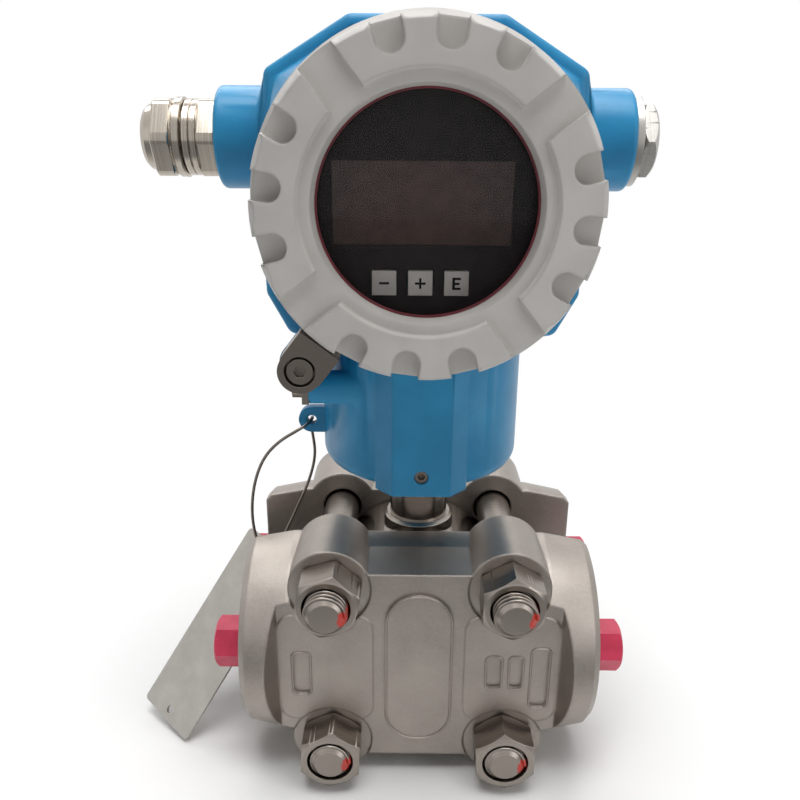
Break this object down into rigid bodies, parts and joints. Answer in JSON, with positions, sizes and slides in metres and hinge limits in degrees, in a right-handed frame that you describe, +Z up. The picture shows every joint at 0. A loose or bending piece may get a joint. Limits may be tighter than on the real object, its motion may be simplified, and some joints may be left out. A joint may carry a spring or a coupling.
{
  "type": "differential pressure transmitter",
  "caption": "Differential pressure transmitter: sensor cell bolted between two process flanges, two-chamber head with display window, screwed covers, cable gland and wired tag plate.",
  "frame": {"origin": "middle of the underside of the whole instrument, on the surface that its two lower flange edges stand on", "axes": "+Z up along the neck, -Y out of the display window, -X out of the cable gland"},
  "size_m": [0.1621, 0.1064, 0.228],
  "materials": {
    "cast_stainless": "bead-blasted cast stainless steel, satin",
    "machined_stainless": "machined stainless steel, semi-bright",
    "bolt_steel": "cold-formed stainless fasteners",
    "foil": "rolled stainless foil",
    "port_plastic": "moulded polyethylene plug",
    "blue_paint": "semi-gloss powder coat on cast aluminium",
    "grey_paint": "semi-gloss powder coat on cast aluminium",
    "nickel_brass": "nickel-plated turned brass, bright",
    "plug_steel": "turned steel, satin",
    "glass": "tinted toughened glass",
    "red_silicone": "red silicone gasket",
    "black_rubber": "moulded nitrile rubber",
    "white_seal": "PTFE seal",
    "bezel_plastic": "moulded black ABS, fine texture",
    "key_plastic": "moulded off-white keys",
    "lcd": "unlit liquid crystal display",
    "circuit_board": "solder-masked board",
    "module_plastic": "potted plastic can",
    "terminal_plastic": "moulded polyamide",
    "zinc_steel": "passivated steel",
    "tag_steel": "rolled stainless sheet, matt"
  },
  "bodies": {
    "pressure_end": {"front_flange": "cast_stainless", "rear_flange": "cast_stainless", "sensor_cell": "machined_stainless", "front_diaphragm": "foil", "rear_diaphragm": "foil", "front_flange_seal": "white_seal", "rear_flange_seal": "white_seal", "clamp_bolts": "bolt_steel", "clamp_nuts": "bolt_steel", "port_plugs": "port_plastic", "tag_plate": "tag_steel", "tag_wire": "tag_steel"},
    "head": {"housing": "blue_paint", "neck_seal": "black_rubber", "neck_set_screw": "zinc_steel", "display_bezel": "bezel_plastic", "lcd_panel": "lcd", "display_board": "circuit_board", "electronics_module": "module_plastic", "terminal_block": "terminal_plastic", "terminal_screws": "zinc_steel", "gland_body": "nickel_brass", "blanking_plug": "plug_steel", "front_lock": "zinc_steel", "front_lock_screw": "zinc_steel", "rear_lock": "zinc_steel", "rear_lock_screw": "zinc_steel", "earth_clamp": "machined_stainless", "earth_screw": "machined_stainless"},
    "front_cover_travel": {"front_cover_seal": "black_rubber"},
    "front_cover": {"front_cover": "grey_paint", "window_gasket": "red_silicone", "window_glass": "glass", "window_retaining_ring": "zinc_steel"},
    "rear_cover_travel": {"rear_cover_seal": "black_rubber"},
    "rear_cover": {"rear_cover": "grey_paint"},
    "key_minus": {"key_minus": "key_plastic"},
    "key_plus": {"key_plus": "key_plastic"},
    "key_enter": {"key_enter": "key_plastic"},
    "gland_travel": {"gland_rubber": "black_rubber"},
    "gland_nut": {"gland_dome_nut": "nickel_brass"}
  },
  "joints": [
    {"name": "head_swivel", "type": "hinge", "parent": "pressure_end", "child": "head", "pos_m": [0.0085, 0.00125, 0.1], "axis": [0, 0, 1], "range_deg": [-190, 190], "deforming": ["tag_wire"]},
    {"name": "front_cover_unscrew", "type": "slide", "parent": "head", "child": "front_cover_travel", "axis": [0, -1, 0], "range_m": [0, 0.01]},
    {"name": "front_cover_turn", "type": "hinge", "parent": "front_cover_travel", "child": "front_cover", "pos_m": [0.0085, -0.03075, 0.1797], "axis": [0, -1, 0], "range_deg": [0, 1800]},
    {"name": "rear_cover_unscrew", "type": "slide", "parent": "head", "child": "rear_cover_travel", "axis": [0, 1, 0], "range_m": [0, 0.01]},
    {"name": "rear_cover_turn", "type": "hinge", "parent": "rear_cover_travel", "child": "rear_cover", "pos_m": [0.0085, 0.03325, 0.1797], "axis": [0, 1, 0], "range_deg": [0, 1800]},
    {"name": "key_minus_press", "type": "slide", "parent": "head", "child": "key_minus", "axis": [0, 1, 0], "range_m": [0, 0.0008], "stiffness_N_per_m": 1500, "springref_m": -0.0004},
    {"name": "key_plus_press", "type": "slide", "parent": "head", "child": "key_plus", "axis": [0, 1, 0], "range_m": [0, 0.0008], "stiffness_N_per_m": 1500, "springref_m": -0.0004},
    {"name": "key_enter_press", "type": "slide", "parent": "head", "child": "key_enter", "axis": [0, 1, 0], "range_m": [0, 0.0008], "stiffness_N_per_m": 1500, "springref_m": -0.0004},
    {"name": "gland_nut_unscrew", "type": "slide", "parent": "head", "child": "gland_travel", "axis": [-1, 0, 0], "range_m": [0, 0.003]},
    {"name": "gland_nut_turn", "type": "hinge", "parent": "gland_travel", "child": "gland_nut", "pos_m": [-0.0665, 0.00525, 0.194], "axis": [-1, 0, 0], "range_deg": [0, 720]}
  ],
  "couplings": [
    {"joint": "front_cover_unscrew", "follows": "front_cover_turn", "m_per_rad": 0.00031831},
    {"joint": "rear_cover_unscrew", "follows": "rear_cover_turn", "m_per_rad": 0.00031831},
    {"joint": "gland_nut_unscrew", "follows": "gland_nut_turn", "m_per_rad": 0.00023873}
  ]
}
